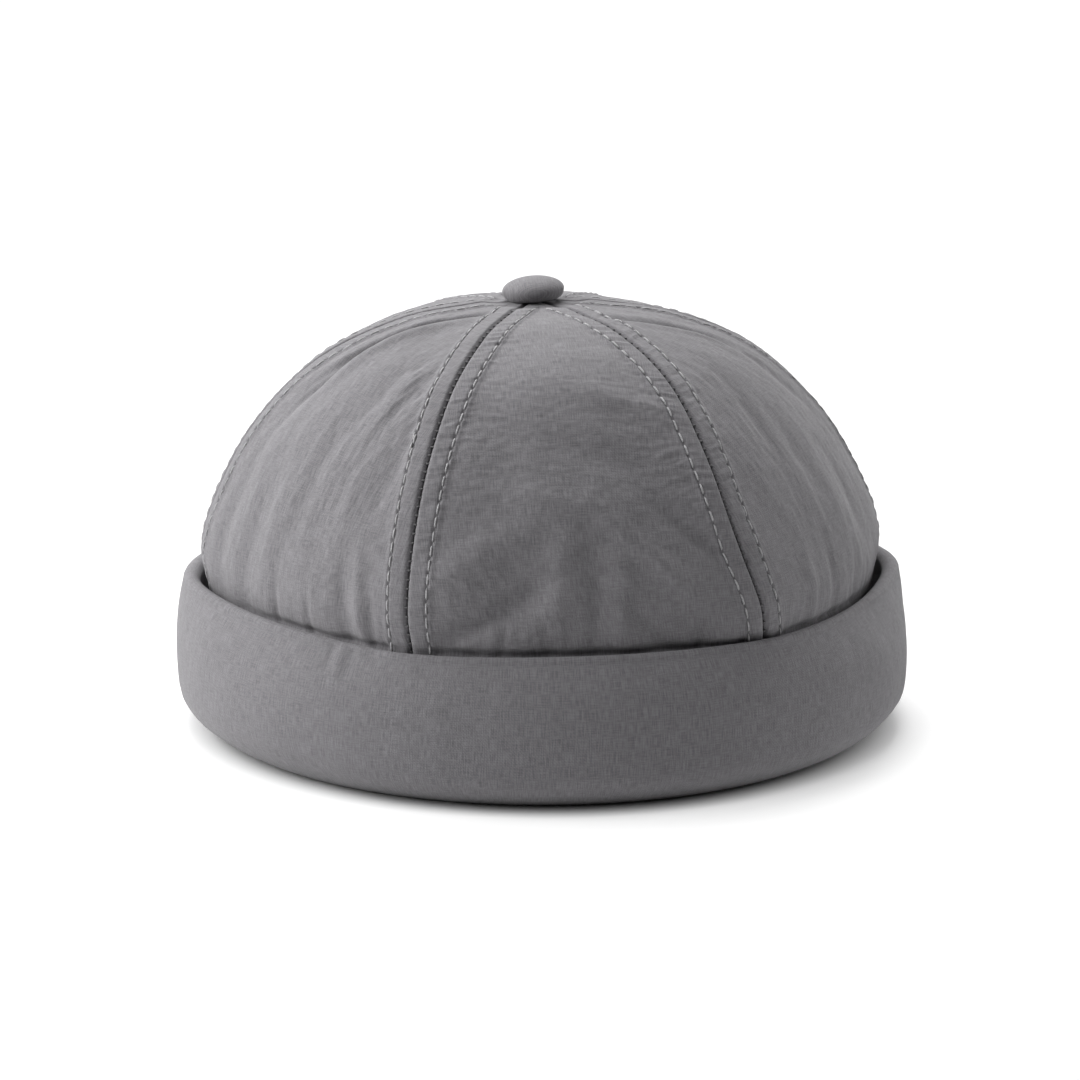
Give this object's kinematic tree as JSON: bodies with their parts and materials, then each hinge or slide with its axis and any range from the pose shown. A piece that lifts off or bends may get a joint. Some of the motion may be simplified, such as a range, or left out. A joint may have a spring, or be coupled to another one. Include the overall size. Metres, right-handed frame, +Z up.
{
  "type": "docker cap",
  "caption": "Brimless close-fitting cloth cap with panelled round crown, turned-up cuff and covered top button, open below for the head.",
  "frame": {"origin": "on the surface the cap stands on, at the middle of its cuff", "axes": "+Z up through the crown, front panel towards -Y"},
  "size_m": [0.208, 0.208, 0.1271],
  "materials": {
    "panel_cloth": "matt charcoal grey woven cotton, topstitched along the seams",
    "cuff_cloth": "matt charcoal grey woven cotton, doubled and turned up",
    "button_cloth": "matt charcoal grey woven cotton drawn over a button"
  },
  "bodies": {
    "root": {"crown_panel_front": "panel_cloth", "crown_panel_front_right": "panel_cloth", "crown_panel_back_right": "panel_cloth", "crown_panel_back": "panel_cloth", "crown_panel_back_left": "panel_cloth", "crown_panel_front_left": "panel_cloth", "cuff": "cuff_cloth", "crown_button": "button_cloth"}
  },
  "joints": []
}
